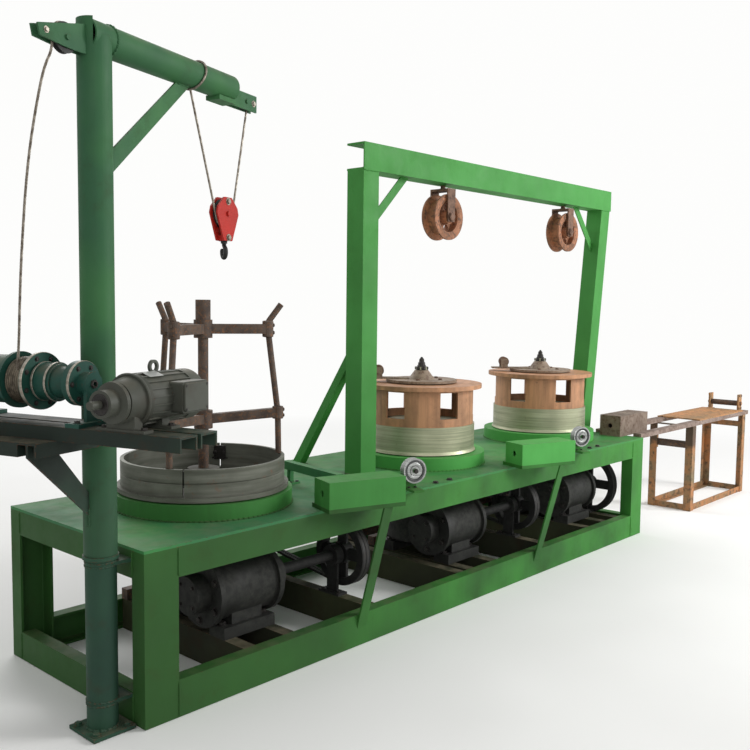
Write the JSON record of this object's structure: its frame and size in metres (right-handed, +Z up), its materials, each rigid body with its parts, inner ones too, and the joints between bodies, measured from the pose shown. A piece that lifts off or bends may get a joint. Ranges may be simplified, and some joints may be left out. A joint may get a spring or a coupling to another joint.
{
  "type": "wire drawing machine",
  "caption": "Dry wire drawing line on a welded base with a take-up drum and wire basket, drawing blocks with flyers, die boxes, an overhead sheave gantry, a slewing hoist crane and a feed stand",
  "frame": {"origin": "on the floor, on the underside of the middle cross member, midway along and across the welded base", "axes": "+X along the machine towards the feed stand, +Y to the back away from the die boxes, +Z up"},
  "size_m": [5.6718, 1.3033, 2.2063],
  "materials": {
    "green_paint": "green machine paint, scuffed",
    "teal_paint": "dark green machine paint over rust",
    "grey_casting": "grey casting, rubbed bright where the wire runs",
    "rusty_steel": "rusty steel",
    "grey_paint": "grey machine paint",
    "red_paint": "red paint",
    "dark_steel": "dark oily steel",
    "bright_steel": "turned bright steel",
    "black_rubber": "black belt rubber",
    "wire_rope": "greasy wire rope"
  },
  "bodies": {
    "machine_base": {"base_rails": "green_paint", "corner_posts": "green_paint", "cross_members": "green_paint", "deck_plate": "green_paint", "block_collars": "green_paint", "die_supports": "green_paint", "die_boxes": "green_paint", "entry_die_box": "rusty_steel", "guide_bar": "green_paint", "guide_brackets": "green_paint", "gantry_posts": "green_paint", "gantry_beam": "green_paint", "gantry_braces": "green_paint", "sheave_hangers": "rusty_steel", "gearboxes": "dark_steel", "bearing_stands": "dark_steel", "drive_motors": "dark_steel", "motor_pulleys": "dark_steel", "motor_rails": "dark_steel", "drive_belts": "black_rubber", "crane_post": "teal_paint", "stand_legs": "rusty_steel", "stand_ties": "rusty_steel", "stand_rails": "rusty_steel", "stand_plate": "rusty_steel", "roller_supports": "rusty_steel"},
    "take_up": {"take_up_drum": "grey_casting", "drum_floor": "grey_casting", "basket_rods": "rusty_steel", "basket_core": "rusty_steel"},
    "block_2": {"drawing_block_2": "grey_casting", "spool_2": "rusty_steel"},
    "block_3": {"drawing_block_3": "grey_casting", "spool_3": "rusty_steel"},
    "flyer_body_2": {"flyer_2": "rusty_steel"},
    "flyer_body_3": {"flyer_3": "rusty_steel"},
    "flyer_wheel_2": {"flyer_roller_2": "bright_steel"},
    "flyer_wheel_3": {"flyer_roller_3": "bright_steel"},
    "overhead_sheave_1": {"sheave_1": "rusty_steel"},
    "overhead_sheave_2": {"sheave_2": "rusty_steel"},
    "edge_pulley_1": {"guide_pulley_1": "bright_steel"},
    "edge_pulley_2": {"guide_pulley_2": "bright_steel"},
    "drive_pulley_1": {"belt_pulley_1": "dark_steel"},
    "drive_pulley_2": {"belt_pulley_2": "dark_steel"},
    "drive_pulley_3": {"belt_pulley_3": "dark_steel"},
    "crane": {"mast": "teal_paint", "crane_arm": "green_paint", "arm_brace": "teal_paint", "platform_rails": "teal_paint", "platform_bearers": "teal_paint", "hoist_motor": "grey_paint", "winch_drum": "teal_paint", "winch_case": "teal_paint", "rope_pulleys": "dark_steel", "front_rope": "wire_rope", "back_rope": "wire_rope", "hook_block": "red_paint"},
    "hanging_hook": {"hook": "dark_steel"},
    "top_feed_roller": {"feed_roller": "bright_steel"},
    "lower_feed_roller": {"low_roller": "bright_steel"}
  },
  "joints": [
    {"name": "take_up_spin", "type": "hinge", "parent": "machine_base", "child": "take_up", "pos_m": [-1.1645, 0, 0.7], "axis": [0, 0, 1], "continuous": true},
    {"name": "block_2_spin", "type": "hinge", "parent": "machine_base", "child": "block_2", "pos_m": [0.1725, 0, 0.7], "axis": [0, 0, 1], "continuous": true},
    {"name": "block_3_spin", "type": "hinge", "parent": "machine_base", "child": "block_3", "pos_m": [1.2745, 0, 0.7], "axis": [0, 0, 1], "continuous": true},
    {"name": "flyer_2_spin", "type": "hinge", "parent": "block_2", "child": "flyer_body_2", "pos_m": [0.1725, 0, 1], "axis": [0, 0, 1], "continuous": true},
    {"name": "flyer_3_spin", "type": "hinge", "parent": "block_3", "child": "flyer_body_3", "pos_m": [1.2745, 0, 1], "axis": [0, 0, 1], "continuous": true},
    {"name": "flyer_roller_2_spin", "type": "hinge", "parent": "flyer_body_2", "child": "flyer_wheel_2", "pos_m": [0.0278, 0.15902, 1.029], "axis": [-0.7396, -0.673, 0], "continuous": true},
    {"name": "flyer_roller_3_spin", "type": "hinge", "parent": "flyer_body_3", "child": "flyer_wheel_3", "pos_m": [1.1298, 0.15902, 1.029], "axis": [-0.7396, -0.673, 0], "continuous": true},
    {"name": "sheave_1_spin", "type": "hinge", "parent": "machine_base", "child": "overhead_sheave_1", "pos_m": [0.2605, -0.0465, 1.79], "axis": [0, 1, 0], "continuous": true},
    {"name": "sheave_2_spin", "type": "hinge", "parent": "machine_base", "child": "overhead_sheave_2", "pos_m": [1.4055, -0.0465, 1.79], "axis": [0, 1, 0], "continuous": true},
    {"name": "guide_pulley_1_spin", "type": "hinge", "parent": "machine_base", "child": "edge_pulley_1", "pos_m": [-0.4175, -0.4465, 0.665], "axis": [0.3746, 0.9272, 0], "continuous": true},
    {"name": "guide_pulley_2_spin", "type": "hinge", "parent": "machine_base", "child": "edge_pulley_2", "pos_m": [0.9755, -0.4465, 0.665], "axis": [0.3746, 0.9272, 0], "continuous": true},
    {"name": "belt_pulley_1_spin", "type": "hinge", "parent": "machine_base", "child": "drive_pulley_1", "pos_m": [-0.5595, -0.176, 0.29], "axis": [1, 0, 0], "continuous": true},
    {"name": "belt_pulley_2_spin", "type": "hinge", "parent": "machine_base", "child": "drive_pulley_2", "pos_m": [0.7775, -0.176, 0.29], "axis": [1, 0, 0], "continuous": true},
    {"name": "belt_pulley_3_spin", "type": "hinge", "parent": "machine_base", "child": "drive_pulley_3", "pos_m": [1.5795, -0.176, 0.29], "axis": [1, 0, 0], "continuous": true},
    {"name": "crane_slew", "type": "hinge", "parent": "machine_base", "child": "crane", "pos_m": [-1.8125, -0.3335, 1], "axis": [0, 0, 1], "range_deg": [-65, 80]},
    {"name": "hook_swivel", "type": "hinge", "parent": "crane", "child": "hanging_hook", "pos_m": [-1.16986, -0.13703, 1.57], "axis": [0, 0, 1], "continuous": true},
    {"name": "feed_roller_spin", "type": "hinge", "parent": "machine_base", "child": "top_feed_roller", "pos_m": [3.4205, -0.2815, 0.652], "axis": [0, 1, 0], "continuous": true},
    {"name": "low_roller_spin", "type": "hinge", "parent": "machine_base", "child": "lower_feed_roller", "pos_m": [2.5305, -0.2815, 0.44], "axis": [0, 1, 0], "continuous": true}
  ],
  "couplings": [
    {"joint": "belt_pulley_1_spin", "follows": "take_up_spin", "ratio": 12},
    {"joint": "belt_pulley_2_spin", "follows": "block_2_spin", "ratio": 12},
    {"joint": "belt_pulley_3_spin", "follows": "block_3_spin", "ratio": 12}
  ]
}
